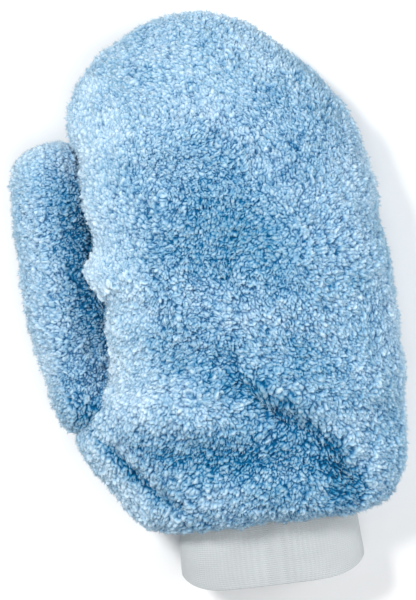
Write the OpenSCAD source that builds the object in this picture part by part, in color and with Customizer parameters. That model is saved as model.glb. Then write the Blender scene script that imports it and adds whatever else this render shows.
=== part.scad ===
// Plush wash mitt with a thumb and a rib-knit cuff, lying palm down, back of the hand up.
// +Y runs from the wrist to the fingertips, +Z is up and the thumb is on the -X side.
// The body is sewn from a back and a palm panel over a thin lining. Each panel is split at the
// knuckle fold and at the thumb's root, because the parts on either side turn against each other.

/* [Plush body] */
// Length from the wrist edge to the fingertips
body_l = 259; // [245:1:275]
// Widest part of the hand, without the thumb
hand_w = 168; // [160:1:180]
// Height of the filled body above the table
body_h = 68; // [66:1:74]
// Thickness of the plush fabric, its pile included
plush_t = 9; // [8:0.5:9.5]
// Thickness of the lining
lining_t = 1; // [0.8:0.1:1.4]
// Width of the seam allowance inside the hand
hand_seam_w = 4.5; // [3:0.5:5]
// Width of the seam allowance inside the thumb
thumb_seam_w = 2; // [1.5:0.5:2.5]
// Thickness of an overlocked seam allowance, both plies together
seam_t = 2.4; // [2:0.2:3]

/* [Cuff] */
// Flat width of the rib-knit cuff
cuff_w = 93; // [88:1:93]
// Thickness of the cuff tube as it lies, both sides together
cuff_h = 24; // [20:1:24]
// Length of cuff that shows below the plush
cuff_shown = 31; // [20:1:45]
// Thickness of one ply of rib knit
rib_t = 1.8; // [1.4:0.1:2]

/* [Mesh] */
// Steps round half a section of the body
round_steps = 18; // [14:1:20]
// Rows along the hand, the fingers and the thumb
rows = 16; // [14:1:18]

/* [Hidden] */

plush_blue = [0.50, 0.71, 0.88];
lining_blue = [0.72, 0.82, 0.90];
thread_blue = [0.45, 0.64, 0.82];
knit_white = [0.86, 0.88, 0.89];

// The pattern is drawn at a standard size and scaled to the dimensions above.
pattern_l = 259;
pattern_w = 168;
pattern_h = 68;
kx = hand_w / pattern_w;
ky = body_l / pattern_l;
kz = body_h / pattern_h;

// Middle of the whole mitt, thumb and cuff included, measured from the middle of the wrist edge
middle = [-15 * kx, (body_l - cuff_shown) / 2];

gap = 0.5;            // between parts that turn against each other
ply_gap = 0.3;        // between layers of one part
seam_gap = 0.9;       // between a seam allowance and the plush beside it
seam_split = 0.1;     // half the gap between the back and the palm panel
knuckle_at = 141;     // where the fingers fold, along the pattern
sag = 5;              // how far the palm would hang if the table did not hold it flat
section_power = 2.35; // 2 is an ellipse, more is boxier
tip_power = 0.7;      // how late the height falls towards a rounded tip

// Hand: y, middle of the width, half the width, top, height of the seam on the thumb's side
hand_pattern = [
    [0, 0, 61, 54, 25],
    [9, -0.7, 67, 57, 25],
    [24, -1.7, 73, 61, 25],
    [54, -7.5, 83.5, 65.5, 26],
    [86, 4.5, 72.5, 67.3, 33],
    [114, 5.5, 70.5, 67.9, 38],
    [140, 4.5, 70, 67.9, 38],
    [166, 2.5, 69.5, 67, 36],
    [192, -2, 71, 65, 31],
    [212, -9.5, 76, 62, 27],
    [236, -13.5, 75, 59, 25],
    [259, -11, 74, 57, 25]];
round_from = 165; // where the outline starts to round off towards the fingertips
seam_z = 25;      // height of the seam on the little finger's side
inside_start = 13; // lining and seams start this far from the wrist edge, past the cuff
heel_seam_end = 50;
crotch_seam_start = 96;

// Thumb: place along it, middle x, middle y, slant of the section, half its width
thumb_pattern = [
    [0, -80.2, 74.3, 50, 19.5],
    [0.12, -82.5, 88, 34, 19.5],
    [0.30, -84.3, 108, 19, 20.5],
    [0.48, -85.3, 131, 6, 20.8],
    [0.68, -86.8, 155, 2, 20.5],
    [0.86, -87.8, 180, 8, 20],
    [1.00, -87.8, 202, 12, 20]];
thumb_round_from = 0.6;
thumb_top = 45;
thumb_seam_z = 22;
thumb_l = 132; // along the thumb, for turning an offset into a share of it

// The thumb's root: where its lining opens into the hand, and which way it goes in
root_at = [-79.5 * kx, 75 * ky, 24 * kz];
root_slant = -40;
root_r = 11.5;
root_l = 56;

// Cuff
cuff_z = 25 * kz;   // height of its middle above the table
cuff_tucked = 8;    // how far it reaches inside the plush
cuff_ply_gap = 0.2; // between the two plies of knit
join_l = 2;         // length of the overlock stitches past the knit's edge
side_seam_w = 5;
side_seam_t = 1.2;

// ---- Smooth curves through a pattern's rows ----

function seek(t, v, i = 0) = (i >= len(t) - 2 || v < t[i + 1][0]) ? i : seek(t, v, i + 1);
function slope(t, i, c) =
    let (a = max(i - 1, 0), b = min(i + 1, len(t) - 1)) (t[b][c] - t[a][c]) / (t[b][0] - t[a][0]);
function curve(t, v, c) =
    let (i = seek(t, v), h = t[i + 1][0] - t[i][0], s = (v - t[i][0]) / h)
    (1 + 2 * s) * (1 - s) * (1 - s) * t[i][c] + s * s * (3 - 2 * s) * t[i + 1][c]
    + s * (1 - s) * (1 - s) * h * slope(t, i, c) + s * s * (s - 1) * h * slope(t, i + 1, c);
function signed_power(v, p) = sign(v) * pow(abs(v), p);
function rounding(v, from, to) = v <= from ? 1 : sqrt(max(0, 1 - pow((v - from) / (to - from), 2)));

// How far a point of a section lies across it (1 is the little finger's seam, -1 the thumb's) and
// up it (1 is the back, -1 the palm), at an angle round the section.
function across(angle) = signed_power(cos(angle), 2 / section_power);
function up(angle) = signed_power(sin(angle), 2 / section_power);

// Height of a point: seam is the seam's height there, shrink falls below 1 towards a tip, and face
// is the depth below the outer surface. The table holds the palm flat.
function height(seam, top, s, shrink, face) =
    s >= 0 ? seam + (top - face - seam) * s * shrink
           : max(face, seam + (seam - face + sag) * s * shrink);

// A point of the hand and fingers at y along the pattern, a depth in from the sides (side) and from
// the back and the palm (face).
function hand_point(y, angle, side, face) =
    let (shrink = rounding(y, round_from, pattern_l - side / ky),
         c = across(angle),
         seam = seam_z + (curve(hand_pattern, y, 4) - seam_z) * (1 - c) / 2)
    [curve(hand_pattern, y, 1) * kx + (curve(hand_pattern, y, 2) * kx - side) * shrink * c,
     y * ky,
     height(seam * kz, curve(hand_pattern, y, 3) * kz, up(angle), pow(shrink, tip_power), face)];

// The same for the thumb, at a share v of its length.
function thumb_point(v, angle, side, face) =
    let (shrink = pow(rounding(v, thumb_round_from, 1 - side / thumb_l), tip_power),
         reach = (curve(thumb_pattern, v, 4) * kx - side) * shrink * across(angle),
         slant = curve(thumb_pattern, v, 3))
    [curve(thumb_pattern, v, 1) * kx + reach * cos(slant),
     curve(thumb_pattern, v, 2) * ky + reach * sin(slant),
     height(thumb_seam_z * kz, thumb_top * kz, up(angle), shrink, face)];

// Places along a part: evenly from start to end, or closing up towards a rounded tip.
function even(start, end) = [for (i = [0:rows]) start + (end - start) * i / rows];
function to_tip(start, end) = [for (i = [0:rows]) start + (end - start) * sin(90 * i / rows)];

hand_end = knuckle_at - gap / 2;
fingers_start = knuckle_at + gap / 2;
// How far in from the sides each layer starts and ends
hand_seam_in = [plush_t + seam_gap, plush_t + seam_gap + hand_seam_w];
thumb_seam_in = [plush_t + seam_gap, plush_t + seam_gap + thumb_seam_w];
plush = [[0, 0], [plush_t, plush_t]];
function lining(seam_in) =
    [for (d = [0, lining_t]) [seam_in[1] + ply_gap + d, plush_t + ply_gap + d]];

// ---- Building blocks ----

function quad(a, b, c, d) = [[a, b, c], [a, c, d]];
function flipped(faces) = [for (f = faces) [f[0], f[2], f[1]]];

// Half of a sewn tube, from one seam to the other: a skin outside, a skin inside and walls between.
// outer[i][j] and inner[i][j] are points. Where tip is true, the last row meets in one point.
// side is 1 for a back and -1 for a palm, whose points run the other way round.
module half_tube(outer, inner, side, tip) {
    n = len(outer) - (tip ? 1 : 0);
    m = len(outer[0]);
    apex = 2 * n * m;
    function o(i, j) = i * m + j;
    function p(i, j) = n * m + i * m + j;
    points = concat(
        [for (i = [0:n - 1]) each outer[i]],
        [for (i = [0:n - 1]) each inner[i]],
        tip ? [outer[n][0], inner[n][0]] : []);
    skins = [for (i = [0:n - 2], j = [0:m - 2]) each concat(
        quad(o(i, j), o(i + 1, j), o(i + 1, j + 1), o(i, j + 1)),
        quad(p(i, j), p(i, j + 1), p(i + 1, j + 1), p(i + 1, j)))];
    seams = [for (i = [0:n - 2]) each concat(
        quad(o(i, 0), p(i, 0), p(i + 1, 0), o(i + 1, 0)),
        quad(o(i, m - 1), o(i + 1, m - 1), p(i + 1, m - 1), p(i, m - 1)))];
    mouth = [for (j = [0:m - 2]) each quad(o(0, j), o(0, j + 1), p(0, j + 1), p(0, j))];
    far_end = tip
        ? concat(
            [for (j = [0:m - 2]) each [[o(n - 1, j), apex, o(n - 1, j + 1)],
                                       [p(n - 1, j), p(n - 1, j + 1), apex + 1]]],
            quad(o(n - 1, 0), p(n - 1, 0), apex + 1, apex),
            quad(o(n - 1, m - 1), apex, apex + 1, p(n - 1, m - 1)))
        : [for (j = [0:m - 2]) each
            quad(o(n - 1, j), p(n - 1, j), p(n - 1, j + 1), o(n - 1, j + 1))];
    faces = concat(skins, seams, mouth, far_end);
    polyhedron(points, side > 0 ? flipped(faces) : faces);
}

function half_section(side) = [for (j = [0:round_steps]) side * 180 * j / round_steps];
// Moves a back up and a palm down by half the gap between them, but no palm below its own face
function parted(point, side, face) =
    [point[0], point[1],
     side > 0 ? point[2] + seam_split : max(face, point[2] - seam_split)];

// One layer of the hand, of the fingers or of the thumb. side is 1 for the back and -1 for the palm.
module hand_layer(layer, side, start) {
    skins = [for (d = layer) [for (y = even(start, hand_end))
        [for (a = half_section(side)) parted(hand_point(y, a, d[0], d[1]), side, d[1])]]];
    half_tube(skins[0], skins[1], side, false);
}

module fingers_layer(layer, side) {
    skins = [for (d = layer) [for (y = to_tip(fingers_start, pattern_l - d[0] / ky))
        [for (a = half_section(side)) parted(hand_point(y, a, d[0], d[1]), side, d[1])]]];
    half_tube(skins[0], skins[1], side, true);
}

module thumb_layer(layer, side) {
    skins = [for (d = layer) [for (v = to_tip(0, 1 - d[0] / thumb_l))
        [for (a = half_section(side)) parted(thumb_point(v, a, d[0], d[1]), side, d[1])]]];
    half_tube(skins[0], skins[1], side, true);
}

// A flat band: the points of its outer and of its inner edge, at the middle of its thickness. Its
// outer edge is on the right of its direction where turn is 1 and on the left where it is -1.
module band(outside, inside, turn) {
    n = len(outside);
    lift = [0, 0, seam_t / 2];
    points = [for (i = [0:n - 1]) each
        [outside[i] - lift, outside[i] + lift, inside[i] + lift, inside[i] - lift]];
    sides = [for (i = [0:n - 2], k = [0:3]) each
        quad(4 * i + k, 4 * i + (k + 1) % 4, 4 * i + 4 + (k + 1) % 4, 4 * i + 4 + k)];
    ends = concat(quad(0, 3, 2, 1), quad(4 * n - 4, 4 * n - 3, 4 * n - 2, 4 * n - 1));
    faces = concat(sides, ends);
    polyhedron(points, turn > 0 ? faces : flipped(faces));
}

// A band along a side seam of the hand, from y to y. The angle is 0 or 180.
module side_band(angle, start, end) {
    edges = [for (d = hand_seam_in) [for (y = even(start, end)) hand_point(y, angle, d, 0)]];
    band(edges[0], edges[1], angle == 0 ? 1 : -1);
}

// The whole mitt is drawn from the middle of its wrist edge and moved to its own middle.
module at_middle() {
    translate([-middle[0], -middle[1], 0]) children();
}

// A hand layer with the opening into the thumb
module open_to_thumb() {
    difference() {
        children();
        translate(root_at) rotate([0, 0, root_slant]) rotate([0, 90, 0])
            cylinder(h = root_l, r = root_r, center = true, $fn = 48);
    }
}

// A flat tube's outline, w wide and h thick, drawn as a square between two circles
module stadium(w, h) {
    square([w - h, h], center = true);
    for (x = [-1, 1]) translate([x * (w - h) / 2, 0]) circle(d = h, $fn = 64);
}

// Something extruded along Y, from start to end, at the cuff's height
module along_cuff(start, end) {
    translate([0, end, cuff_z]) rotate([90, 0, 0]) linear_extrude(end - start) children();
}

// ---- Hand ----

module back_panel_hand() {
    color(plush_blue) at_middle() open_to_thumb() hand_layer(plush, 1, 0);
}

module palm_panel_hand() {
    color(plush_blue) at_middle() open_to_thumb() hand_layer(plush, -1, 0);
}

module back_lining_hand() {
    color(lining_blue) at_middle() open_to_thumb() hand_layer(lining(hand_seam_in), 1, inside_start);
}

module palm_lining_hand() {
    color(lining_blue) at_middle() open_to_thumb() hand_layer(lining(hand_seam_in), -1, inside_start);
}

module little_finger_side_seam() {
    color(thread_blue) at_middle() side_band(0, inside_start, hand_end);
}

module heel_seam() {
    color(thread_blue) at_middle() side_band(180, inside_start, heel_seam_end);
}

module crotch_seam() {
    color(thread_blue) at_middle() side_band(180, crotch_seam_start, hand_end);
}

// ---- Fingers ----

module back_panel_fingers() {
    color(plush_blue) at_middle() fingers_layer(plush, 1);
}

module palm_panel_fingers() {
    color(plush_blue) at_middle() fingers_layer(plush, -1);
}

module back_lining_fingers() {
    color(lining_blue) at_middle() fingers_layer(lining(hand_seam_in), 1);
}

module palm_lining_fingers() {
    color(lining_blue) at_middle() fingers_layer(lining(hand_seam_in), -1);
}

module fingertip_seam() {
    edges = [for (d = hand_seam_in)
        let (places = to_tip(fingers_start, pattern_l - d / ky))
        concat([for (y = places) hand_point(y, 0, d, 0)],
               [for (i = [rows - 1:-1:0]) hand_point(places[i], 180, d, 0)])];
    color(thread_blue) at_middle() band(edges[0], edges[1], 1);
}

// ---- Thumb ----

module back_panel_thumb() {
    color(plush_blue) at_middle() thumb_layer(plush, 1);
}

module palm_panel_thumb() {
    color(plush_blue) at_middle() thumb_layer(plush, -1);
}

module back_lining_thumb() {
    color(lining_blue) at_middle() thumb_layer(lining(thumb_seam_in), 1);
}

module palm_lining_thumb() {
    color(lining_blue) at_middle() thumb_layer(lining(thumb_seam_in), -1);
}

module thumb_seam() {
    edges = [for (d = thumb_seam_in)
        let (places = to_tip(0, 1 - d / thumb_l))
        concat([for (v = places) thumb_point(v, 0, d, 0)],
               [for (i = [rows - 1:-1:0]) thumb_point(places[i], 180, d, 0)])];
    color(thread_blue) at_middle() band(edges[0], edges[1], 1);
}

// ---- Cuff ----

// One strip of rib knit, folded along its lower edge, so its two plies are open at the top
module rib_cuff() {
    inner_w = cuff_w - 2 * rib_t - 2 * cuff_ply_gap;
    inner_h = cuff_h - 2 * rib_t - 2 * cuff_ply_gap;
    color(knit_white) at_middle() difference() {
        along_cuff(-cuff_shown, cuff_tucked) stadium(cuff_w, cuff_h);
        along_cuff(-cuff_shown - 1, cuff_tucked + 1)
            stadium(inner_w - 2 * rib_t, inner_h - 2 * rib_t);
        along_cuff(-cuff_shown + rib_t, cuff_tucked + 1) difference() {
            stadium(cuff_w - 2 * rib_t, cuff_h - 2 * rib_t);
            stadium(inner_w, inner_h);
        }
    }
}

// Overlock thread that joins the cuff's top edge to the plush
module cuff_join_seam() {
    color(thread_blue) at_middle() along_cuff(cuff_tucked + 0.1, cuff_tucked + 0.1 + join_l)
        difference() {
            stadium(cuff_w, cuff_h);
            stadium(cuff_w - 4 * rib_t - 2 * cuff_ply_gap, cuff_h - 4 * rib_t - 2 * cuff_ply_gap);
        }
}

// The seam that closes the strip of rib knit into a tube, flat against the cuff's inside
module cuff_side_seam() {
    inside_x = cuff_w / 2 - 2 * rib_t - cuff_ply_gap;
    bend_r = cuff_h / 2 - 2 * rib_t - cuff_ply_gap;
    clear = bend_r - sqrt(pow(bend_r, 2) - pow(side_seam_w / 2, 2)) + 0.1;
    color(knit_white) at_middle()
        translate([-inside_x + clear, -cuff_shown + 1, cuff_z - side_seam_w / 2])
            cube([side_seam_t, cuff_shown + cuff_tucked - 2, side_seam_w]);
}

back_panel_hand();
palm_panel_hand();
back_lining_hand();
palm_lining_hand();
little_finger_side_seam();
heel_seam();
crotch_seam();
back_panel_fingers();
palm_panel_fingers();
back_lining_fingers();
palm_lining_fingers();
fingertip_seam();
back_panel_thumb();
palm_panel_thumb();
back_lining_thumb();
palm_lining_thumb();
thumb_seam();
rib_cuff();
cuff_join_seam();
cuff_side_seam();
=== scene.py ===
"""A plush wash mitt lying palm down on a pale table, seen from above as in the photograph.

The plush is one closed form, made of the hand and the thumb, whose surface is covered with
overlapping tufts of curly pile. It is cut along its seams into a back and a palm, and the thumb is
cut off at its root. Lengths below are in millimetres, measured from the middle of the wrist edge
along the mitt, as in part.scad; to_frame() moves them.
"""

import math

import bpy
import numpy as np
from mathutils import Matrix, Vector, kdtree


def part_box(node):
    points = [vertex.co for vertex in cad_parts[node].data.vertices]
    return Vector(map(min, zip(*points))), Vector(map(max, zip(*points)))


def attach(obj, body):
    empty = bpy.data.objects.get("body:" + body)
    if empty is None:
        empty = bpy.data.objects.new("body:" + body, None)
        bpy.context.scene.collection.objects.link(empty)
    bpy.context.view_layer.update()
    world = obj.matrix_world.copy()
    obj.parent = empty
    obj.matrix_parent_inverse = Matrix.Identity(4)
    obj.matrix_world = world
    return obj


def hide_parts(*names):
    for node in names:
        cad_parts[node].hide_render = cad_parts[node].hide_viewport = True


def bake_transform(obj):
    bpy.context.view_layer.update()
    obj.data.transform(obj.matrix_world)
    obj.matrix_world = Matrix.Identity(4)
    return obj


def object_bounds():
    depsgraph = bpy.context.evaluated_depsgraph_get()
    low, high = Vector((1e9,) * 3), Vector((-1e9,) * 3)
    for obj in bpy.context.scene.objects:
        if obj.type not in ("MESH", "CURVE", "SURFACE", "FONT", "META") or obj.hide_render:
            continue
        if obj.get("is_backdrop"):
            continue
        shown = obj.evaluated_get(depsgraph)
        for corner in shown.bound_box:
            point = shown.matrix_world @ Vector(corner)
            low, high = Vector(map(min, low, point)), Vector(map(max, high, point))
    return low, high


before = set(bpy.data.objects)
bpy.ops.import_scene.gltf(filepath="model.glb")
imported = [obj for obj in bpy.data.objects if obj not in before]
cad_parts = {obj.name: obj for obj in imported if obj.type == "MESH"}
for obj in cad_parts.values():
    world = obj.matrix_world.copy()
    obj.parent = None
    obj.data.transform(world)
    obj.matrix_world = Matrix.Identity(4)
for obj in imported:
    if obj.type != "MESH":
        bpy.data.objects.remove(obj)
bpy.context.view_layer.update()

MM = 0.001
rng = np.random.default_rng(20)

# ---- Where things are ----------------------------------------------------------------------

hand_low, hand_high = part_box("back_panel_hand")
fingers_low, fingers_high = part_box("back_panel_fingers")
cuff_low, cuff_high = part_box("rib_cuff")

CUFF_MIDDLE = (cuff_low[0] + cuff_high[0]) / 2 / MM  # the mitt's middle line, in the row frame
WRIST_EDGE = hand_low[1] / MM
BODY_L = fingers_high[1] / MM - WRIST_EDGE
CUFF_W = (cuff_high[0] - cuff_low[0]) / MM
CUFF_H = (cuff_high[2] - cuff_low[2]) / MM
CUFF_Z = (cuff_high[2] + cuff_low[2]) / 2 / MM
CUFF_SHOWN = WRIST_EDGE - cuff_low[1] / MM
CUFF_TUCKED = cuff_high[1] / MM - WRIST_EDGE
CUFF_SIDES, CUFF_FACES = 0.62, 0.75  # powers of its outline, which is boxier than an ellipse


def to_frame(points):
    """Pattern millimetres to metres in the row frame."""
    return (np.asarray(points, float) + (CUFF_MIDDLE, WRIST_EDGE, 0)) * MM


# ---- The mitt's shape ----------------------------------------------------------------------

PILE = 3.2  # how far the tufts stand above the smooth form
SECTION_POWER = 2.35  # 2 is an ellipse, more is boxier
TIP_POWER = 0.7
SAG = 5.0  # how far the palm would hang if the table did not hold it flat
SEAM_Z = 25.0
ROUND_FROM = 165.0
MOUTH_LIP = (9.0, 11.0)  # how far along, and how far in, the plush rolls round to the cuff

# y, middle of the width, half the width, top, height of the widest place on the thumb's side
HAND_ROWS = np.array([
    [0, 0, 61, 54, 25],
    [9, -0.7, 67, 57, 25],
    [24, -1.7, 73, 61, 25],
    [54, -7.5, 83.5, 65.5, 26],
    [86, 4.5, 72.5, 67.3, 33],
    [114, 5.5, 70.5, 67.9, 38],
    [140, 4.5, 70, 67.9, 38],
    [166, 2.5, 69.5, 67, 36],
    [192, -2, 71, 65, 31],
    [212, -9.5, 76, 62, 27],
    [236, -13.5, 75, 59, 25],
    [259, -11, 74, 57, 25]])

# share along the thumb, middle x, middle y, slant of the section, half its width
THUMB_ROWS = np.array([
    [-0.14, -66, 62, 52, 18],
    [0, -81.2, 73.3, 50, 20.5],
    [0.12, -83.8, 87, 34, 20.8],
    [0.30, -85.6, 107, 19, 21.8],
    [0.48, -86.0, 131, 6, 21.5],
    [0.68, -87.4, 155, 2, 20.5],
    [0.86, -88.3, 180, 8, 20],
    [1.00, -88.6, 202, 12, 20.5]])
THUMB_TOP = 45.0
THUMB_SEAM_Z = 22.0
THUMB_L = 132.0
THUMB_ROUND_FROM = 0.84
ROOT = np.array([-80.2, 74.3])  # middle of the line where the thumb leaves the hand
ROOT_OUT = np.array([-math.sin(math.radians(50)), math.cos(math.radians(50))])


def through_rows(rows, at, column):
    """A smooth curve through one column of a table of rows, at places along its first column."""
    at = np.asarray(at, float)
    t, v = rows[:, 0], rows[:, column]
    i = np.clip(np.searchsorted(t, at, side="right") - 1, 0, len(t) - 2)
    before = np.maximum(np.arange(len(t)) - 1, 0)
    after = np.minimum(np.arange(len(t)) + 1, len(t) - 1)
    slope = (v[after] - v[before]) / (t[after] - t[before])
    h = t[i + 1] - t[i]
    s = (at - t[i]) / h
    return ((1 + 2 * s) * (1 - s) ** 2 * v[i] + s * s * (3 - 2 * s) * v[i + 1]
            + s * (1 - s) ** 2 * h * slope[i] + s * s * (s - 1) * h * slope[i + 1])


def rounding(at, start, end):
    """1 up to start, then falling to 0 at end like a circle's edge."""
    share = np.clip((at - start) / (end - start), 0, 1)
    return np.sqrt(1 - share ** 2)


def section(angle):
    """How far across and how far up a section's point lies: -1 is the thumb's side, 1 the back."""
    c, s = np.cos(angle), np.sin(angle)
    power = 2 / SECTION_POWER
    return np.sign(c) * np.abs(c) ** power, np.sign(s) * np.abs(s) ** power


def height(seam, top, up, shrink, depth):
    """Height of a point, up from its seam on the back, or down from it on the palm."""
    back = seam + (top - depth - seam) * up * shrink
    palm = np.maximum(depth, seam + (seam - depth + SAG) * up * shrink)
    return np.where(up >= 0, back, palm)


def hand_points(y, angle, depth):
    """Points of the hand's and fingers' surface, a depth below the tips of the pile.

    The angle goes round a section, from the little finger's side (0) over the back to the thumb's.
    """
    lip_y, lip_in = MOUTH_LIP
    depth = depth + lip_in * (1 - np.sqrt(1 - np.clip(1 - y / lip_y, 0, 1) ** 2))
    shrink = rounding(y, ROUND_FROM, BODY_L - depth)
    across, up = section(angle)
    seam = SEAM_Z + (through_rows(HAND_ROWS, y, 4) - SEAM_Z) * (1 - across) / 2
    return np.stack([
        through_rows(HAND_ROWS, y, 1) + (through_rows(HAND_ROWS, y, 2) - depth) * shrink * across,
        y + 0 * angle,
        height(seam, through_rows(HAND_ROWS, y, 3), up, shrink ** TIP_POWER, depth)], -1)


def thumb_points(v, angle, depth):
    """The same for the thumb, at a share v of its length."""
    shrink = rounding(v, THUMB_ROUND_FROM, 1 - depth / THUMB_L) ** TIP_POWER
    across, up = section(angle)
    reach = (through_rows(THUMB_ROWS, v, 4) - depth) * shrink * across
    slant = np.radians(through_rows(THUMB_ROWS, v, 3))
    return np.stack([
        through_rows(THUMB_ROWS, v, 1) + reach * np.cos(slant),
        through_rows(THUMB_ROWS, v, 2) + reach * np.sin(slant),
        height(THUMB_SEAM_Z, THUMB_TOP, up, shrink, depth) + 0 * reach], -1)


# ---- Mesh helpers --------------------------------------------------------------------------

def carry(obj, **values):
    """Gives an object's points the values that its material reads."""
    for key, value in values.items():
        attribute = obj.data.attributes.new(key, "FLOAT", "POINT")
        attribute.data.foreach_set("value", np.asarray(value).astype(np.float32))


def add_mesh(name, points, faces, material=None):
    """An object in the row frame from pattern points in millimetres."""
    mesh = bpy.data.meshes.new(name)
    mesh.from_pydata(to_frame(points).tolist(), [], [list(f) for f in faces])
    mesh.polygons.foreach_set("use_smooth", [True] * len(mesh.polygons))
    mesh.update()
    obj = bpy.data.objects.new(name, mesh)
    bpy.context.scene.collection.objects.link(obj)
    if material:
        mesh.materials.append(material)
    return obj


def ring_faces(rows, around, first=0):
    """Quads between rows of points that close round."""
    i, j = np.meshgrid(np.arange(rows - 1), np.arange(around), indexing="ij")
    a = first + i * around + j
    b = first + i * around + (j + 1) % around
    return np.stack([a, b, b + around, a + around], -1).reshape(-1, 4).tolist()


def coordinates(mesh):
    """A mesh's points in pattern millimetres."""
    points = np.empty(len(mesh.vertices) * 3, np.float32)
    mesh.vertices.foreach_get("co", points)
    return points.reshape(-1, 3).astype(float) / MM - (CUFF_MIDDLE, WRIST_EDGE, 0)


def closed_form(name, grid):
    """A closed object from rows of points round a tube, with a flat fan over each end."""
    rows, around = grid.shape[:2]
    points = grid.reshape(-1, 3).tolist() + [grid[0].mean(0).tolist(), grid[-1].mean(0).tolist()]
    faces = ring_faces(rows, around)
    first, last = rows * around, rows * around + 1
    for j in range(around):
        k = (j + 1) % around
        faces.append((k, j, first))
        faces.append(((rows - 1) * around + j, (rows - 1) * around + k, last))
    return add_mesh(name, points, faces)


def applied(obj, kind, **settings):
    """Runs one modifier on an object and keeps its result."""
    modifier = obj.modifiers.new(kind, kind)
    for key, value in settings.items():
        setattr(modifier, key, value)
    evaluated = obj.evaluated_get(bpy.context.evaluated_depsgraph_get())
    mesh = bpy.data.meshes.new_from_object(evaluated)
    obj.modifiers.remove(modifier)
    obj.data = mesh
    return obj


def wobble(points, wavelength, seed, count=9):
    """A smooth random field of about -1 to 1 with about this wavelength."""
    own = np.random.default_rng(seed)
    total = np.zeros(len(points))
    for _ in range(count):
        direction = own.normal(size=3)
        direction *= 2 * math.pi / (wavelength * own.uniform(0.7, 1.5)) / np.linalg.norm(direction)
        total += np.sin(points @ direction + own.uniform(0, 2 * math.pi))
    return total / math.sqrt(count / 2) / 1.6


def to_line(points, line):
    """Distance from each point to a line of corners, in plan."""
    best = np.full(len(points), np.inf)
    for a, b in zip(np.array(line[:-1], float), np.array(line[1:], float)):
        t = np.clip(((points[:, :2] - a) @ (b - a)) / ((b - a) @ (b - a)), 0, 1)
        best = np.minimum(best, np.linalg.norm(points[:, :2] - (a + t[:, None] * (b - a)), axis=1))
    return best


# ---- The smooth form under the pile --------------------------------------------------------

GRAIN = 0.52  # edge length of the surface's mesh
TABLE_GAP = 0.35  # the pile of the palm is pressed flat this far above the table

# folds and swells of the cloth, in plan: corners, depth (below 0 it stands up), half width
HOLLOW, LONG_FOLD, HEEL_FOLD, DIMPLE, THUMB_FURROW, PALE_SWELL = range(6)
FOLDS = (
    ([(-97, 90), (-89, 77), (-81, 68), (-63, 53.5), (-44, 44), (-22, 39), (1, 36), (20, 34),
      (33, 24), (42, 11)], 3.2, 10.0),
    ([(-12, 84), (-8, 78), (-2, 71), (11, 56), (28.6, 46), (38, 30), (42, 21)], 5.0, 6.2),
    ([(-85, 66), (-79, 56), (-67, 42), (-58, 30), (-50, 22), (-42, 17)], 4.2, 4.0),
    ([(-76, 84), (-68, 81)], 3.6, 4.0),
    ([(-88, 128), (-84, 112), (-78, 98)], 2.2, 6.0),
    ([(-54, 132), (-54, 112), (-57, 96), (-49, 79), (-28, 60)], -2.2, 9.0),
    ([(-48, 25), (-22, 20), (12, 17)], -1.4, 9.0),
    ([(-20, 108), (2, 84), (24, 70), (44, 50)], -1.6, 11.0))
PAINTED_DARK_FOLDS = FOLDS[:THUMB_FURROW]  # the ones painted darker along their lines, as painted shade in the folds
FADES_IN = 30  # a fold reaches its whole depth this far from its first corner
HIGHEST_RISE = 2.6  # the cloth nowhere stands further above its smooth form

# past this line, in x and y, the fingers fill the mitt
CREST = ([-76, -55, -20, 8, 27, 41], [186, 193, 198, 205, 218, 231])


def smooth_form():
    """The hand and the thumb as one closed surface of even quads, a pile's height inside the CAD.

    The search trees of the two separate forms come with it, to tell thumb from hand afterwards.
    """
    angle = np.linspace(0, 2 * math.pi, 160, endpoint=False)[None, :]
    along_hand = np.concatenate([
        np.linspace(0, 1, 12) ** 2 * MOUTH_LIP[0],
        np.linspace(MOUTH_LIP[0] + 2, ROUND_FROM, 80),
        ROUND_FROM + (BODY_L - PILE - 0.05 - ROUND_FROM)
        * np.sin(np.linspace(0.03, 1, 60) * math.pi / 2)])
    hand = hand_points(along_hand[:, None], angle, PILE)
    along_thumb = np.concatenate([
        np.linspace(-0.14, THUMB_ROUND_FROM, 60),
        THUMB_ROUND_FROM + (1 - PILE / THUMB_L - 1e-4 - THUMB_ROUND_FROM)
        * np.sin(np.linspace(0.03, 1, 50) * math.pi / 2)])
    thumb = thumb_points(along_thumb[:, None], angle, PILE)
    hand_form, thumb_form = closed_form("hand_form", hand), closed_form("thumb_form", thumb)
    trees = []
    for form in (hand_form, thumb_form):
        points = coordinates(form.data)
        tree = kdtree.KDTree(len(points))
        for i, p in enumerate(points):
            tree.insert(p, i)
        tree.balance()
        trees.append(tree)
    both = dict(active_object=hand_form, selected_editable_objects=[hand_form, thumb_form])
    with bpy.context.temp_override(**both):
        bpy.ops.object.join()
    form = applied(hand_form, "REMESH", mode="VOXEL", voxel_size=GRAIN * MM)
    return applied(form, "SMOOTH", factor=0.5, iterations=8), trees


def nearest(tree, points):
    """Each point's distance to the nearest point of a tree."""
    return np.array([tree.find(p)[2] for p in points])


def bump(at, middle, width):
    """1 at the middle, falling smoothly to nothing about twice the width away."""
    return np.exp(-((at - middle) / width) ** 2)


def fade_in(points, line):
    """A fold's share of its depth, which grows from a quarter at its first corner."""
    from_start = np.linalg.norm(points[:, :2] - line[0], axis=1)
    return 0.25 + 0.75 * np.clip(from_start / FADES_IN, 0, 1)


def normals_of(mesh):
    normals = np.empty(len(mesh.vertices) * 3, np.float32)
    mesh.vertices.foreach_get("normal", normals)
    return normals.reshape(-1, 3).astype(float)


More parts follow.
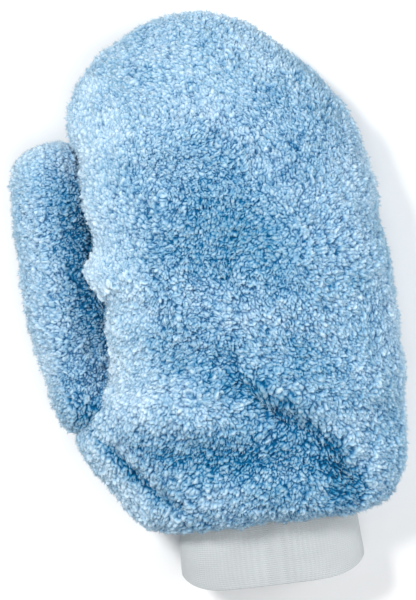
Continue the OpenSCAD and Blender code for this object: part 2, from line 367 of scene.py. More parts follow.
def slack(points, normals, of_hand):
    """The cloth's own folds and hollows, before the pile is put on."""
    x, y, z = points.T
    back = np.clip((normals[:, 2] + 0.3) / 0.6, 0, 1)
    drop = np.zeros(len(points))
    for line, depth, half_width in FOLDS:
        drop += depth * np.exp(-(to_line(points, line) / half_width) ** 2) * fade_in(points, line)
    drop += 0.9 * wobble(points, 46, 3) + 0.5 * wobble(points, 22, 4)
    drop -= 1.2  # the cloth may rise a little over the pile's height as well
    points = points.copy()
    points[:, 1] += 3.2 * np.clip(1 - y / 16, 0, 1) - 2.8 * np.clip((y - 190) / 66, 0, 1)
    seam = seam_height(points)
    side = np.clip((x - 30) / 20, 0, 1) * bump(y, 112, 74)
    drop += 1.5 * side * (bump(z, seam, 1.6) - 0.5 * bump(z, seam + 3.2, 1.5))
    points = points - normals * (np.maximum(drop, -HIGHEST_RISE) * back)[:, None]
    # thumb and hand lie against each other, pile on pile, and the hand's side folds over the thumb
    touching = np.clip((y - 88) / 14, 0, 1) * np.clip((212 - y) / 12, 0, 1)
    inner = np.clip((x + 92) / 18, 0, 1) * np.clip((y - 70) / 25, 0, 1) * (1 - of_hand)
    points[:, 2] -= 0.5 * inner * np.maximum(z - THUMB_SEAM_Z, 0)
    facing_thumb = np.clip(-normals[:, 0] * 1.6, 0, 1)
    points[:, 0] -= (2.6 * touching * facing_thumb * np.clip((z - 20) / 8, 0, 1)
                     * of_hand * (x < -30))
    points[:, 0] += 2.4 * touching * np.clip(normals[:, 0] * 1.6, 0, 1) * (1 - of_hand)
    over = np.clip((-40 - x) / 20, 0, 1) * np.clip((z - 34) / 8, 0, 1) * of_hand
    points[:, 0] -= (7.0 * bump(y, 136, 9) + 2.2 * bump(y, 168, 16) - 2.0 * bump(y, 117, 6)) * over
    return points


def seam_height(points):
    """Height of the hand's seam: as in the CAD, it rises on the thumb's side."""
    x, y, _ = points.T
    half_width = through_rows(HAND_ROWS, y, 2) - PILE
    across = np.clip((x - through_rows(HAND_ROWS, y, 1)) / half_width, -1, 1)
    left = through_rows(HAND_ROWS, np.clip(y, 0, BODY_L), 4)
    return SEAM_Z + (left - SEAM_Z) * (1 - across) / 2


form, (hand_tree, thumb_tree) = smooth_form()
bare = coordinates(form.data)
bare_of_hand = np.ones(len(bare))
left = np.flatnonzero((bare[:, 0] < -40) & (bare[:, 1] > 60))
bare_of_hand[left] = nearest(hand_tree, bare[left]) < nearest(thumb_tree, bare[left])
skin = slack(bare, normals_of(form.data), bare_of_hand)


# ---- The pile ------------------------------------------------------------------------------

def coarseness(points):
    """0 where the pile lies in fine short curls, 1 where it opens into big locks, as near the folds."""
    y = points[:, 1]
    near = np.minimum(to_line(points, FOLDS[LONG_FOLD][0]), to_line(points, FOLDS[HEEL_FOLD][0]))
    return np.clip(0.12 + 0.3 * np.clip(1 - y / 190, 0, 1) + 0.5 * np.exp(-(near / 13) ** 2)
                   + 0.25 * wobble(points, 38, 8), 0, 1)


def across(normals, directions):
    """The directions laid into the surface and made of length 1."""
    flat = directions - normals * (directions * normals).sum(1)[:, None]
    return flat / np.maximum(np.linalg.norm(flat, axis=1), 1e-6)[:, None]


def nap(points, normals):
    """The way the pile has been stroked: outwards from the middle, wandering."""
    x, y, z = points.T
    way = np.stack([x + 5, (y - 110) * 0.7 - 25, 0 * z], -1) / 90
    way += 0.8 * np.stack([wobble(points, 60, s) for s in (11, 12, 13)], -1)
    return across(normals, way)


def spaced_out(points, tree, apart, own):
    """Random points of the surface, none nearer to another than its own distance apart."""
    taken = np.zeros(len(points), bool)
    kept = []
    for i in own.permutation(len(points)):
        if not taken[i]:
            kept.append(i)
            taken[[f[1] for f in tree.find_range(points[i], apart[i])]] = True
    return np.array(kept)


NEAR_LOCKS = 6  # how many locks a point is tried against


def grow_pile(points, normals):
    """The pile over each point: its height, its lock, its way, how coarse it is, and how far the
    point lies inside its lock, from 0 in the crevice to 1.

    A lock is a short curved line on the surface. The cells round these lines, with the distance to
    the next lock's line as their edge, are the tufts, and neighbouring locks stick together in bunches.
    """
    tree = kdtree.KDTree(len(points))
    for i, p in enumerate(points):
        tree.insert(p, i)
    tree.balance()
    stroked = nap(points, normals)
    coarse = coarseness(points)
    at = spaced_out(points, tree, 1.12 + 0.9 * coarse, rng)
    n = len(at)
    locks = kdtree.KDTree(n)
    for i, p in enumerate(points[at]):
        locks.insert(p, i)
    locks.balance()
    along = across(normals[at], stroked[at] + rng.normal(0, 0.55, (n, 3)))
    side = np.cross(normals[at], along)
    half = rng.uniform(0.1, 1.35, n) * (0.75 + 0.7 * coarse[at])
    tall = rng.uniform(0.55, 1.05, n)
    bias = rng.normal(0, 0.2, n)
    curl = rng.normal(0, 0.15, n)
    bunch_at = points[at][spaced_out(points[at], locks, 3.4 + 2.2 * coarse[at], rng)]
    bunches = kdtree.KDTree(len(bunch_at))
    for i, p in enumerate(bunch_at):
        bunches.insert(p, i)
    bunches.balance()
    bunch = np.array([bunches.find(p)[1] for p in points[at] + rng.normal(0, 0.7, (n, 3))])
    raised = rng.uniform(-1, 1, len(bunch_at))[bunch]
    near = np.array([[f[1] for f in locks.find_n(p, NEAR_LOCKS)] for p in points])
    strayed = points + np.stack([wobble(points, 3.2, s) for s in (31, 32, 33)], -1) * 0.3
    to = strayed[:, None, :] - points[at][near]
    u, w = (to * along[near]).sum(-1), (to * side[near]).sum(-1)
    up = (to * normals[at][near]).sum(-1)
    w = w + curl[near] * u * u
    reach = np.sqrt(np.maximum(np.abs(u) - half[near], 0) ** 2 + w * w + up * up) + bias[near]
    order = np.argsort(reach, axis=1)
    first = np.take_along_axis(reach, order[:, :1], 1)[:, 0]
    second = np.take_along_axis(reach, order[:, 1:2], 1)[:, 0]
    lock = np.take_along_axis(near, order[:, :1], 1)[:, 0]
    rival = np.take_along_axis(near, order[:, 1:2], 1)[:, 0]
    together = bunch[lock] == bunch[rival]
    parted = np.where(together, 0.9, 1.0) * rng.uniform(0.82, 1.0, n)[lock]
    gap = (1.05 + 0.85 * coarse) * np.where(together, 0.85, 1.4) * rng.uniform(0.8, 1.2, n)[lock]
    inside = 1 - parted * (1 - np.clip((second - first) / gap, 0, 1))
    crown = 1 - 0.36 * np.clip(first / (1.0 + 1.0 * coarse), 0, 1.3) ** 2
    flank = 0.05 + 0.95 * np.sqrt(1 - (1 - inside) ** 2)
    heights = PILE * (tall[lock] + 0.25 * raised[lock]) * crown * flank
    return heights * (0.86 + 0.22 * coarse), lock, stroked, coarse, inside


def quads_in(mesh):
    """The corners of each of a mesh's faces, all of them quads."""
    quads = np.empty(len(mesh.polygons) * 4, np.int32)
    mesh.polygons.foreach_get("vertices", quads)
    return quads.reshape(-1, 4)


quads = quads_in(form.data)
form.data.vertices.foreach_set("co", to_frame(skin).astype(np.float32).ravel())
form.data.update()
skin_normals = normals_of(form.data)
heights, lock, stroked, coarse, inside = grow_pile(skin, skin_normals)
lock_tint = rng.uniform(-1, 1, lock.max() + 2)
tint = 0.55 * lock_tint[lock] + 0.5 * wobble(skin, 42, 21) + 0.25 * wobble(skin, 14, 22)
heights = heights + rng.uniform(-0.06, 0.06, len(heights))
pile = skin + skin_normals * heights[:, None] + stroked * (0.38 * heights)[:, None]
# painted light and shade, carried in tone and tuft: paler past the crest over the fingertips and along
# the little finger's side, and darker over the middle of the back
past_crest = np.clip((skin[:, 1] - np.interp(skin[:, 0], *CREST)) / 16 + 0.5, 0, 1)
hollow = bump(skin[:, 0], -14, 42) * bump(skin[:, 1], 118, 78)
facing_up, facing_thumb = skin_normals[:, 2], -skin_normals[:, 0]
painted_shading = 0.9 * past_crest + 0.4 * np.clip((skin[:, 0] - 30) / 30, 0, 1) - 0.6 * hollow
# painted light: paler at the thumb's outer side and wherever the surface turns away from facing up, as
# a painted rim light
painted_shading += 0.9 * np.clip((-88 - skin[:, 0]) / 10, 0, 1) + 1.0 * (1 - np.clip(facing_up * 1.7, 0, 1))
# painted light on the sides that face the thumb's way near the heel
painted_shading += (0.9 * np.clip(1.5 * facing_thumb, 0, 1) * np.clip((-58 - skin[:, 0]) / 10, 0, 1)
            * np.clip((105 - skin[:, 1]) / 15, 0, 1))
# painted shadow on the thumb under the hand's overhanging edge, and painted light on that edge above it
under_hand = bump(skin[:, 0], -73, 11) * bump(skin[:, 1], 140, 52) * (skin[:, 1] > 60)
edge_above = 0.9 * np.clip((skin[:, 2] - 36) / 8, 0, 1)
painted_shading += np.where(bare_of_hand > 0.5, edge_above, -1.9) * under_hand
# painted light on the hand's side where it faces the thumb, high up
painted_shading += (1.3 * np.clip(1.6 * facing_thumb, 0, 1) * np.clip((skin[:, 2] - 34) / 8, 0, 1)
            * np.clip((-40 - skin[:, 0]) / 10, 0, 1) * bare_of_hand)
# painted light along the raised swell over the hand's thumb side
painted_shading += 0.75 * np.exp(-(to_line(skin, FOLDS[PALE_SWELL][0]) / 15) ** 2) * bare_of_hand
# painted shade along the sunken folds
for line, depth, half_width in PAINTED_DARK_FOLDS:
    painted_shading -= 0.42 * depth * np.exp(-(to_line(skin, line) / half_width) ** 2) * fade_in(skin, line)
# the palm's pile is pressed against the table, and eases into that flat face
EASE = 0.8
low = TABLE_GAP + 0.35 * (1 - np.clip(heights / PILE, 0, 1))
pressed = pile[:, 2] < low + EASE
pile[pressed, 2] = low[pressed] + EASE * np.exp((pile[pressed, 2] - low[pressed] - EASE) / EASE)


def add_quads(name, points, faces, values, material):
    """An object from some of the faces of a big surface, with values carried at its points."""
    used, inverse = np.unique(faces, return_inverse=True)
    faces = inverse.reshape(faces.shape).astype(np.int32)
    mesh = bpy.data.meshes.new(name)
    mesh.vertices.add(len(used))
    mesh.vertices.foreach_set("co", to_frame(points[used]).astype(np.float32).ravel())
    mesh.loops.add(faces.size)
    mesh.loops.foreach_set("vertex_index", faces.ravel())
    mesh.polygons.add(len(faces))
    mesh.polygons.foreach_set("loop_start", np.arange(0, faces.size, 4, dtype=np.int32))
    mesh.polygons.foreach_set("use_smooth", np.ones(len(faces), bool))
    mesh.update(calc_edges=True)
    mesh.materials.append(material)
    obj = bpy.data.objects.new(name, mesh)
    bpy.context.scene.collection.objects.link(obj)
    carry(obj, **{key: value[used] for key, value in values.items()})
    return obj


# ---- Materials -------------------------------------------------------------------------------

class Graph:
    """A material's node tree, written as nested calls."""

    def __init__(self, name):
        self.material = bpy.data.materials.new(name)
        self.material.use_nodes = True
        self.tree = self.material.node_tree
        self.shader = self.tree.nodes["Principled BSDF"]

    def node(self, kind, settings=(), **inputs):
        """A new node. An input is named with _ for a space, or i0, i1 and so on by its number."""
        node = self.tree.nodes.new(kind)
        for key, value in dict(settings).items():
            setattr(node, key, value)
        for key, value in inputs.items():
            name = key.replace("_", " ")
            by_number = name[0] == "i" and name[1:].isdigit()
            self.feed(node.inputs[int(name[1:]) if by_number else name], value)
        return node

    def feed(self, socket, value):
        if isinstance(value, bpy.types.NodeSocket):
            self.tree.links.new(value, socket)
        else:
            socket.default_value = value

    def attribute(self, name):
        return self.node("ShaderNodeAttribute", dict(attribute_name=name)).outputs["Fac"]

    def math(self, operation, a, b=0.0, clamp=False):
        settings = dict(operation=operation, use_clamp=clamp)
        return self.node("ShaderNodeMath", settings, i0=a, i1=b).outputs[0]

    def place(self, stretch=(1, 1, 1)):
        where = self.node("ShaderNodeTexCoord").outputs["Object"]
        return self.node("ShaderNodeMapping", Vector=where, Scale=stretch).outputs[0]

    def noise(self, scale, detail=2.0, roughness=0.5, where=None, distortion=0.0):
        node = self.node("ShaderNodeTexNoise", Scale=scale, Detail=detail, Roughness=roughness,
                         Distortion=distortion, Vector=where or self.place())
        return node.outputs["Fac"]

    def ramp(self, value, *stops):
        node = self.node("ShaderNodeValToRGB", Fac=value)
        elements = node.color_ramp.elements
        while len(elements) < len(stops):
            elements.new(0.5)
        for element, (at, colour) in zip(elements, stops):
            element.position = at
            element.color = (*colour, 1)
        return node.outputs["Color"]

    def bump(self, height, strength, distance):
        return self.node("ShaderNodeBump", Height=height, Strength=strength,
                         Distance=distance).outputs[0]

    def finish(self, **inputs):
        for key, value in inputs.items():
            self.feed(self.shader.inputs[key.replace("_", " ")], value)
        return self.material


def plush_material(name):
    """Blue curly microfibre: darker and saturated down between the tufts and pale at their tips, the
    dark partly painted shade in the crevices.
    """
    g = Graph(name)
    tuft, tone = g.attribute("tuft"), g.attribute("tone")
    fibre = g.noise(2300, 3.0, 0.6)
    patch = g.noise(520, 2.0, 0.5)
    level = g.math("ADD", tuft, g.math("MULTIPLY", g.math("SUBTRACT", fibre, 0.5), 0.34))
    level = g.math("ADD", level, g.math("MULTIPLY", g.math("SUBTRACT", patch, 0.5), 0.2), clamp=True)
    # the dark end of this ramp is partly painted shade, for the crevices between the tufts
    colour = g.ramp(level, (0.0, (0.004, 0.035, 0.105)), (0.28, (0.024, 0.130, 0.280)),
                    (0.50, (0.205, 0.390, 0.570)), (0.74, (0.375, 0.575, 0.720)),
                    (1.0, (0.540, 0.690, 0.795)))
    # tone, a random tint together with painted light and shade, sets the brightness and paleness
    bright = g.math("ADD", 1.0, g.math("MULTIPLY", tone, 0.13))
    saturation_by_tone = g.math("SUBTRACT", 1.0, g.math("MULTIPLY", tone, 0.17))
    colour = g.node("ShaderNodeHueSaturation", Saturation=saturation_by_tone, Value=bright, Color=colour).outputs[0]
    bump = g.bump(g.math("ADD", fibre, g.math("MULTIPLY", patch, 0.6)), 0.55, 0.0005)
    rough = g.math("ADD", 0.78, g.math("MULTIPLY", fibre, 0.2))
    return g.finish(Base_Color=colour, Roughness=rough, Normal=bump, Specular_IOR_Level=0.1,
                    Sheen_Weight=0.18, Sheen_Roughness=0.4, Sheen_Tint=(0.85, 0.93, 1, 1))


def knit_material(name, colour, shade=0.82):
    """Fine ribbed knit: wales up the cuff, courses across it, and soft wear."""
    g = Graph(name)
    course, wale = g.attribute("course"), g.attribute("wale")
    turn = 2 * math.pi
    rows = g.math("SINE", g.math("MULTIPLY", course, turn))
    slanted = g.math("ADD", g.math("MULTIPLY", wale, turn), g.math("MULTIPLY", rows, 0.8))
    stitches = g.math("SINE", slanted)
    yarn = g.math("ADD", g.math("MULTIPLY", rows, 0.5), g.math("MULTIPLY", stitches, 0.5))
    fibre = g.noise(3000, 3.0, 0.65)
    blotch = g.noise(70, 2.0, 0.5)
    # the grooves between the knit's rows and stitches are painted darker, as painted shade; fibre and
    # blotch vary the tone at random
    level = g.math("ADD", g.math("MULTIPLY", yarn, 0.16), g.math("MULTIPLY", fibre, 0.5))
    level = g.math("ADD", level, g.math("MULTIPLY", blotch, 0.5), clamp=True)
    dark = tuple(c * shade for c in colour)
    tinted = g.ramp(level, (0.25, dark), (0.75, colour))
    bump = g.bump(g.math("ADD", g.math("MULTIPLY", yarn, 0.6), fibre), 0.5, 0.00025)
    rough = g.math("ADD", 0.72, g.math("MULTIPLY", fibre, 0.2))
    return g.finish(Base_Color=tinted, Roughness=rough, Normal=bump,
                    Sheen_Weight=0.25, Sheen_Roughness=0.4, Specular_IOR_Level=0.25)


def thread_material(name, colour):
    """Twisted polyester thread of the overlocked seams."""
    g = Graph(name)
    twist = g.math("SINE", g.math("MULTIPLY", g.attribute("twist"), 2 * math.pi))
    fibre = g.noise(4000, 2.0, 0.6)
    # the grooves of the twist are painted darker, as painted shade; fibre varies the tone at random
    level = g.math("ADD", g.math("MULTIPLY", twist, 0.22), fibre, clamp=True)
    tinted = g.ramp(level, (0.2, tuple(c * 0.55 for c in colour)), (0.8, colour))
    return g.finish(Base_Color=tinted, Roughness=g.math("ADD", 0.5, g.math("MULTIPLY", fibre, 0.25)),
                    Normal=g.bump(level, 0.5, 0.0002), Sheen_Weight=0.2, Specular_IOR_Level=0.35)


plush = plush_material("plush_blue")
knit = knit_material("cuff_knit", (0.50, 0.53, 0.54))
lining_cloth = knit_material("lining_knit", (0.30, 0.45, 0.60), shade=0.7)
thread = thread_material("seam_thread", (0.16, 0.38, 0.66))
pale_thread = thread_material("cuff_thread", (0.62, 0.68, 0.72))


# ---- The plush panels ------------------------------------------------------------------------

middles = bare[quads].mean(1)
beyond_root = (middles[:, :2] - ROOT) @ ROOT_OUT
maybe = np.flatnonzero((beyond_root > 0) & (middles[:, 0] < -40))
of_thumb = np.zeros(len(quads), bool)
of_thumb[maybe] = nearest(thumb_tree, middles[maybe]) <= nearest(hand_tree, middles[maybe])
split = np.where(of_thumb, THUMB_SEAM_Z, seam_height(middles))
of_back = middles[:, 2] > split
# the cuff goes in where the faces of the wrist end lie inside its outline
mouth = (middles[:, 1] < 1.2) & (
    (np.abs(middles[:, 0]) / (CUFF_W / 2 - 2.0)) ** (2 / CUFF_SIDES)
    + (np.abs(middles[:, 2] - CUFF_Z) / (CUFF_H / 2 - 0.8)) ** (2 / CUFF_FACES) < 1)
# tuft runs from the dark crevices to the pale tips, and its dark end is partly painted shade; tuft and
# tone also carry the painted light and shade above, and tone a random tint
carried = dict(tuft=np.clip(0.3 * heights / PILE + 0.7 * inside ** 0.75 + 0.09 * painted_shading, 0, 1),
               tone=np.clip(tint + 0.6 * painted_shading, -1.8, 1.8))


def at(x, y, z=0.0):
    return tuple(to_frame((x, y, z)))


def bends_at_knuckles(piece):
    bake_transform(piece)


def bends_at_thumb(piece):
    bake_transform(piece)


def bends_at_cuff(piece):
    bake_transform(piece)


for name, chosen, bends, nodes in (
        ("back_plush", of_back & ~of_thumb, bends_at_knuckles,
         ("back_panel_hand", "back_panel_fingers")),
        ("palm_plush", ~of_back & ~of_thumb, bends_at_knuckles,
         ("palm_panel_hand", "palm_panel_fingers")),
        ("thumb_back_plush", of_back & of_thumb, bends_at_thumb, ("back_panel_thumb",)),
        ("thumb_palm_plush", ~of_back & of_thumb, bends_at_thumb, ("palm_panel_thumb",))):
    piece = add_quads(name, pile, quads[chosen & ~mouth], carried, plush)
    bends(piece)
    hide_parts(*nodes)
bpy.data.objects.remove(form)


# ---- Loose fibres that stand out of the pile --------------------------------------------------

THIRD = 2.0944  # of a turn, in radians
# a fibre's triangles: corners 0 to 2 at its root, 3 to 5 at its middle, 6 its point
FIBRE = np.array([[0, 1, 4], [0, 4, 3], [1, 2, 5], [1, 5, 4], [2, 0, 3], [2, 3, 5],
                  [3, 4, 6], [4, 5, 6], [5, 3, 6]])
FIBRE_TUFT = [0.55, 0.55, 0.55, 0.8, 0.8, 0.8, 1.0]  # its colour, paler to its point, the darker root partly painted shade


def add_fibres(name, roots, ways, normals, tone):
    """Thin curved fibres, three-sided and pointed."""
    n = len(roots)
    length = rng.uniform(0.9, 2.1, n)[:, None]
    thick = rng.uniform(0.08, 0.17, n)[:, None]
    way = ways * rng.uniform(0.2, 1.3, n)[:, None] + normals * rng.uniform(0.5, 1.2, n)[:, None]
    way += rng.normal(0, 0.35, (n, 3))
    way /= np.linalg.norm(way, axis=1)[:, None]
    turn = across(way, rng.normal(0, 1, (n, 3)))
    a, b = turn, np.cross(way, turn)
    middle = roots + way * length * 0.5
    end = roots + way * length * 0.85 + turn * length * 0.4
    rings = []
    for centre, size in ((roots - way * 0.25, 1.0), (middle, 0.75)):
        for k in range(3):
            c, s = math.cos(k * THIRD), math.sin(k * THIRD)
            rings.append(centre + (a * c + b * s) * thick * size)
    points = np.stack(rings + [end], 1).reshape(-1, 3)
    corners = len(FIBRE_TUFT)
    triangles = (FIBRE[None] + corners * np.arange(n)[:, None, None]).reshape(-1, 3)
    mesh = bpy.data.meshes.new(name)
    mesh.vertices.add(len(points))
    mesh.vertices.foreach_set("co", to_frame(points).astype(np.float32).ravel())
    mesh.loops.add(triangles.size)
    mesh.loops.foreach_set("vertex_index", triangles.astype(np.int32).ravel())
    mesh.polygons.add(len(triangles))
    mesh.polygons.foreach_set("loop_start", np.arange(0, triangles.size, 3, dtype=np.int32))
    mesh.polygons.foreach_set("use_smooth", np.ones(len(triangles), bool))
    mesh.update(calc_edges=True)
    mesh.materials.append(plush)
    obj = bpy.data.objects.new(name, mesh)
    bpy.context.scene.collection.objects.link(obj)
    carry(obj, tuft=np.tile(FIBRE_TUFT, n), tone=np.repeat(tone, corners))
    return obj


on_back, on_thumb = np.zeros((2, len(pile)), bool)
on_back[quads[of_back].ravel()] = True
on_thumb[quads[of_thumb].ravel()] = True
clear = np.ones(len(pile), bool)
clear[quads[mouth].ravel()] = False
clear &= (inside > 0.55) & (pile[:, 2] > 2.5)
for name, back, thumb, count, bends in (
        ("back_fibres", True, False, 20000, bends_at_knuckles),
        ("palm_fibres", False, False, 5000, bends_at_knuckles),
        ("thumb_back_fibres", True, True, 5000, bends_at_thumb),
        ("thumb_palm_fibres", False, True, 1500, bends_at_thumb)):
    choice = np.flatnonzero(clear & (on_back == back) & (on_thumb == thumb))
    choice = rng.choice(choice, min(count, len(choice)), replace=False)
    piece = add_fibres(name, pile[choice], stroked[choice], skin_normals[choice], tint[choice])
    bends(piece)


# ---- The cuff --------------------------------------------------------------------------------

def stadium(angle, half_width, half_height):
    """A flat tube's outline: boxier than an ellipse, round at the sides."""
    c, s = np.cos(angle), np.sin(angle)
    return (half_width * np.sign(c) * np.abs(c) ** CUFF_SIDES,
            half_height * np.sign(s) * np.abs(s) ** CUFF_FACES)


def cuff_point(turn, along, inward):
    """A point of the tube: its turn round it, from its tucked edge (0) to its hem (1), and how far
    inward from its face."""
    angle = turn * 2 * math.pi
    droop = np.abs(np.cos(angle)) ** 5
    hem = -CUFF_SHOWN + 8.5 * droop  # the hem is cut in a shallow arc and its corners are rounded
    y = CUFF_TUCKED + (hem - CUFF_TUCKED) * along
    flare = 1.2 * np.clip(-y / 20, 0, 1) - 2.2 * np.clip((-y - 24) / 7, 0, 1) ** 2
    x, z = stadium(angle, CUFF_W / 2 - 1.6 + flare - inward, CUFF_H / 2 - 0.35 - inward)
    sag = 0.5 * np.sin(x * 0.11 + 1) * np.clip(-y / 14, 0, 1) + 0.35 * np.sin(x * 0.23 - y * 0.12)
    return np.stack([x, y, CUFF_Z + z + sag * np.clip(1 - np.abs(x) / 46, 0, 1)], -1)


WALES = 135  # ribs round the cuff
COURSE = 1.05  # height of one visible row of stitches
RIB, STITCH_RISE = 0.022, 0.06  # how far ribs and rows of stitches stand up
HEM_RADIUS = 0.9  # the strip is folded double at the hem


def make_cuff():
    """One strip of knit: down its outside, round the hem, and up its inside."""
    around, up = 540, 150
    turn = np.arange(around)[None, :] / around
    out = np.linspace(0, 1, up)
    rows, courses = [], []
    rib = RIB * np.cos(turn * 2 * math.pi * WALES)
    for along in out:
        stitch = STITCH_RISE * math.sin(along * (CUFF_SHOWN + CUFF_TUCKED) * 2 * math.pi / COURSE)
        rows.append(cuff_point(turn, along + 0 * turn, -rib - stitch))
        courses.append(along * (CUFF_SHOWN + CUFF_TUCKED) / COURSE)
    for a in np.linspace(0, math.pi, 9)[1:-1]:
        inward = HEM_RADIUS - HEM_RADIUS * math.cos(a) - rib * math.cos(a)
        rows.append(cuff_point(turn, 1 + 0.012 * math.sin(a) + 0 * turn, inward))
        courses.append(courses[-1] + 0.4)
    for along in out[::-4]:
        rows.append(cuff_point(turn, along + 0 * turn, 2 * HEM_RADIUS + rib))
        courses.append(courses[-1] + 0.4)
    grid = np.concatenate(rows)
    piece = add_mesh("rib_cuff_knit", grid.reshape(-1, 3), ring_faces(len(grid), around), knit)
    wale = np.tile(np.arange(around) * WALES / around, len(grid))
    carry(piece, course=np.repeat(courses, around), wale=wale)
    return piece


cuff = make_cuff()
bends_at_cuff(cuff)
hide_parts("rib_cuff")


# ---- The lining --------------------------------------------------------------------------------

LINING_DEPTH = 9.6
SEWN_IN = 9.0  # the lining is sewn to the cuff this far inside the wrist edge
THUMB_HOLE = 11.6  # radius of the opening into the thumb


def quads_of(kept):
    """Quads of a grid of points where kept says so for a quad's first corner."""
    rows, around = kept.shape
    i, j = np.nonzero(kept)
    a, b = i * around + j, i * around + (j + 1) % around
    return np.stack([a, b, b + around, a + around], -1)


def lining_values(grid):
    """Which course and wale of the knit each point of the lining lies on."""
    rows, around = grid.shape[:2]
    return dict(course=np.repeat(np.arange(rows) * 1.3, around),
                wale=np.tile(np.arange(around) * 1.0, rows))


def panels_of(grid, kept, names, bends, nodes):
    """A tube of lining, cut into the back's sheet and the palm's."""
    around = grid.shape[1]
    points = grid.reshape(-1, 3)
    points = points + 0.35 * np.stack([wobble(points, 17, s) for s in (51, 52, 53)], -1)
    half = np.arange(around) < around // 2
    for name, side, replaced in zip(names, (half, ~half), nodes):
        chosen = kept & side[None, :]
        piece = add_quads(name, points, quads_of(chosen), lining_values(grid), lining_cloth)
        bends(piece)
        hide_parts(*replaced)


turn = np.linspace(0, 2 * math.pi, 220, endpoint=False)[None, :]
along = np.concatenate([np.linspace(SEWN_IN, ROUND_FROM, 150),
                        ROUND_FROM + (BODY_L - LINING_DEPTH - 0.1 - ROUND_FROM)
                        * np.sin(np.linspace(0.02, 1, 70) * math.pi / 2)])[:, None]
in_hand = hand_points(np.maximum(along, 13), turn, LINING_DEPTH)
in_hand[..., 1] = along
at_cuff = cuff_point(turn / (2 * math.pi), np.zeros_like(turn), 2.2)[0]
share = np.clip((along - SEWN_IN) / 12, 0, 1)[..., None]
share = share * share * (3 - 2 * share)
funnel = at_cuff[None] * (1 - share) + in_hand * share
funnel[..., 1] = along
root_3d = np.append(ROOT, 24.0)
from_root = funnel - root_3d
outward = from_root[..., :2] @ ROOT_OUT
off_axis = np.sqrt((from_root ** 2).sum(-1) - outward ** 2)
kept = ((off_axis > THUMB_HOLE) | (outward < -14))[:-1]
panels_of(funnel, kept, ("back_lining", "palm_lining"), bends_at_knuckles,
          (("back_lining_hand", "back_lining_fingers"), ("palm_lining_hand", "palm_lining_fingers")))
along = np.concatenate([np.linspace(0.0, THUMB_ROUND_FROM, 110),
                        THUMB_ROUND_FROM + (1 - LINING_DEPTH / THUMB_L - 0.002 - THUMB_ROUND_FROM)
                        * np.sin(np.linspace(0.03, 1, 40) * math.pi / 2)])[:, None]
sleeve = thumb_points(along, turn, LINING_DEPTH)
panels_of(sleeve, np.ones((len(sleeve) - 1, sleeve.shape[1]), bool),
          ("thumb_back_lining", "thumb_palm_lining"), bends_at_thumb,
          (("back_lining_thumb",), ("palm_lining_thumb",)))


# ---- The seams ---------------------------------------------------------------------------------

STITCH = 2.4  # length of one overlock stitch


def overlocked(name, outer, inner, thick, nodes):
    """A seam allowance from its outer to its inner edge, bound in loops of thread."""
    outer, inner = np.asarray(outer), np.asarray(inner)
    middle = (outer + inner) / 2
    run = np.concatenate([[0], np.cumsum(np.linalg.norm(np.diff(middle, axis=0), axis=1))])
    even = np.arange(0, run[-1], 0.35)
    outer = np.stack([np.interp(even, run, outer[:, k]) for k in range(3)], -1)
    inner = np.stack([np.interp(even, run, inner[:, k]) for k in range(3)], -1)
    around = 18
    phi = np.arange(around) * 2 * math.pi / around
    phase = even[:, None] / STITCH * 2 * math.pi
    loop = 1 + 0.16 * np.maximum(np.cos(phase + 1.5 * np.cos(phi)[None]), -0.2)
    reach = (0.5 + 0.5 * np.sign(np.cos(phi)) * np.abs(np.cos(phi)) ** 0.6)[None, :, None]
    points = inner[:, None] + (outer - inner)[:, None] * reach
    along = np.gradient((outer + inner) / 2, axis=0)
    along /= np.linalg.norm(along, axis=1)[:, None]
    wide = outer - inner
    wide /= np.linalg.norm(wide, axis=1)[:, None]
    up_way = np.cross(along, wide)
    up_way *= np.sign(up_way[:, 2:3] + 1e-9)
    rise = thick / 2 * np.sign(np.sin(phi)) * np.abs(np.sin(phi)) ** 0.7 * loop
    points = points + up_way[:, None] * rise[..., None]
    faces = ring_faces(len(even), around)
    first, last = range(around), range((len(even) - 1) * around, len(even) * around)
    faces += [tuple(first)[::-1], tuple(last)]
    piece = add_mesh(name, points.reshape(-1, 3), faces, thread)
    carry(piece, twist=(phase / (2 * math.pi) * 6 + phi[None] / 2).ravel())
    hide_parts(*nodes)
    return piece


def side_edge(depth, angle, start, end=None):
    """The hand's side at a depth, from y to y, or on round to the fingertips."""
    y = np.linspace(start, end or ROUND_FROM, 200)
    if end is None:
        tip = np.sin(np.linspace(0, 1, 160)[1:] * math.pi / 2)
        y = np.concatenate([y, ROUND_FROM + (BODY_L - depth - ROUND_FROM) * tip])
    return hand_points(y, angle + 0 * y, depth)


def round_tip(depth):
    """The seam's line up the little finger's side, round the fingertips and down to the crotch."""
    return np.concatenate([side_edge(depth, 0, 13), side_edge(depth, math.pi, 96)[::-1]])


def round_thumb(depth):
    """The seam's line up one side of the thumb, round its tip and down the other."""
    tip = np.sin(np.linspace(0, 1, 90)[1:] * math.pi / 2)
    v = np.concatenate([np.linspace(0.06, THUMB_ROUND_FROM, 120), THUMB_ROUND_FROM
                        + (1 - depth / THUMB_L - THUMB_ROUND_FROM) * tip])
    return np.concatenate([thumb_points(v, 0 * v, depth),
                           thumb_points(v, math.pi + 0 * v, depth)[::-1]])


ALLOWANCE = (9.9, 14.4)  # depths of the seam allowance's two edges below the tips of the pile
THUMB_ALLOWANCE = (9.9, 11.9)
BAND = 2.2  # thickness of the overlocked bands

rim_seam = overlocked("side_and_fingertip_seam", *(round_tip(d) for d in ALLOWANCE), BAND,
                      ("little_finger_side_seam", "fingertip_seam", "crotch_seam"))
bends_at_knuckles(rim_seam)
heel = overlocked("heel_seam_band", *(side_edge(d, math.pi, 13, 50) for d in ALLOWANCE), BAND,
                  ("heel_seam",))
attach(heel, "hand")
thumb_band = overlocked("thumb_seam_band", *(round_thumb(d) for d in THUMB_ALLOWANCE), BAND,
                        ("thumb_seam",))
bends_at_thumb(thumb_band)

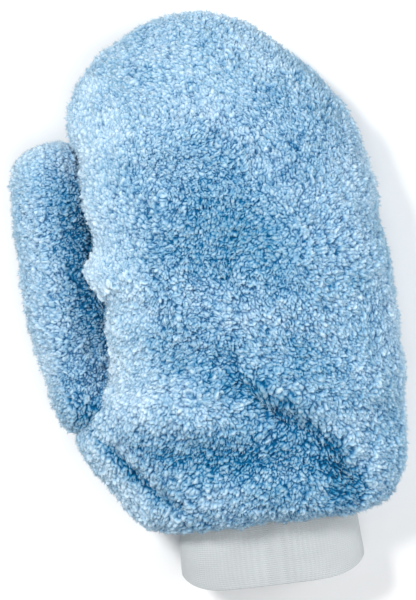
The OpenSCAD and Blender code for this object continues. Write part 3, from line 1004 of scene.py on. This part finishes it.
ring = np.linspace(0, 1, 400)
join_outer = cuff_point(ring, np.zeros(400), -0.2) + (0, 1.0, 0)
join_inner = cuff_point(ring, np.zeros(400), 2.6) + (0, 1.0, 0)
join = overlocked("cuff_join_band", join_outer, join_inner, 2.0, ("cuff_join_seam",))
bends_at_cuff(join)

up_cuff = np.linspace(0.03, 0.96, 120)
inside_left = cuff_point(np.full(120, 0.5), up_cuff, 2.6)
side_band = overlocked("cuff_side_band", inside_left + (0, 0, 2.4), inside_left - (0, 0, 2.4), 1.0,
                       ("cuff_side_seam",))
side_band.data.materials[0] = pale_thread
bends_at_cuff(side_band)


# ---- The stage -------------------------------------------------------------------------------

def floor_material():
    g = Graph("table")
    grain = g.noise(60, 3.0, 0.5)
    colour = g.ramp(grain, (0.3, (0.86, 0.865, 0.87)), (0.7, (0.875, 0.88, 0.885)))
    return g.finish(Base_Color=colour, Roughness=0.7, Normal=g.bump(grain, 0.05, 0.0005),
                    Specular_IOR_Level=0.1)


TABLE = 4000  # half its width
corners = [(-TABLE, -TABLE, 0), (TABLE, -TABLE, 0), (TABLE, TABLE, 0), (-TABLE, TABLE, 0)]
table = add_mesh("table", corners, [(0, 1, 2, 3)], floor_material())
table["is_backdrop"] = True

scene = bpy.context.scene
TURNED = math.radians(7)  # the photograph's upright, clockwise from the mitt's middle line
LEAN = math.radians(5)  # the camera stands this far off the vertical, towards the fingertips
DISTANCE = 1.243
target = Vector((-0.0013, 0.0, 0.030))
up = Vector((math.sin(TURNED), math.cos(TURNED), 0))
back_off = (Vector((0, 0, math.cos(LEAN))) + up * math.sin(LEAN)) * DISTANCE
camera_data = bpy.data.cameras.new("camera")
camera_data.lens = 150
camera_data.sensor_width = 36
camera = bpy.data.objects.new("camera", camera_data)
scene.collection.objects.link(camera)
camera.location = target + back_off
z_axis = back_off.normalized()
x_axis = up.cross(z_axis).normalized()
y_axis = z_axis.cross(x_axis)
turned = Matrix((x_axis, y_axis, z_axis)).transposed().to_4x4()
camera.matrix_world = Matrix.Translation(camera.location) @ turned
scene.camera = camera


def area_light(name, place, size, power, colour=(1, 1, 1)):
    data = bpy.data.lights.new(name, "AREA")
    data.shape, data.size, data.energy, data.color = "DISK", size, power, colour
    light = bpy.data.objects.new(name, data)
    scene.collection.objects.link(light)
    light.location = place
    light.rotation_euler = (target - light.location).to_track_quat("-Z", "Y").to_euler()
    return light


area_light("key", (-0.7, 0.75, 1.25), 0.4, 20, (1.0, 0.99, 0.97))
area_light("side", (1.0, 0.1, 0.8), 0.7, 7)
area_light("top", (0.25, -0.35, 1.8), 1.2, 13)
world = bpy.data.worlds.new("studio")
world.use_nodes = True
world.node_tree.nodes["Background"].inputs[0].default_value = (0.93, 0.96, 1.0, 1)
world.node_tree.nodes["Background"].inputs[1].default_value = 0.32
scene.world = world
scene.view_settings.view_transform = "Standard"

low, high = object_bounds()
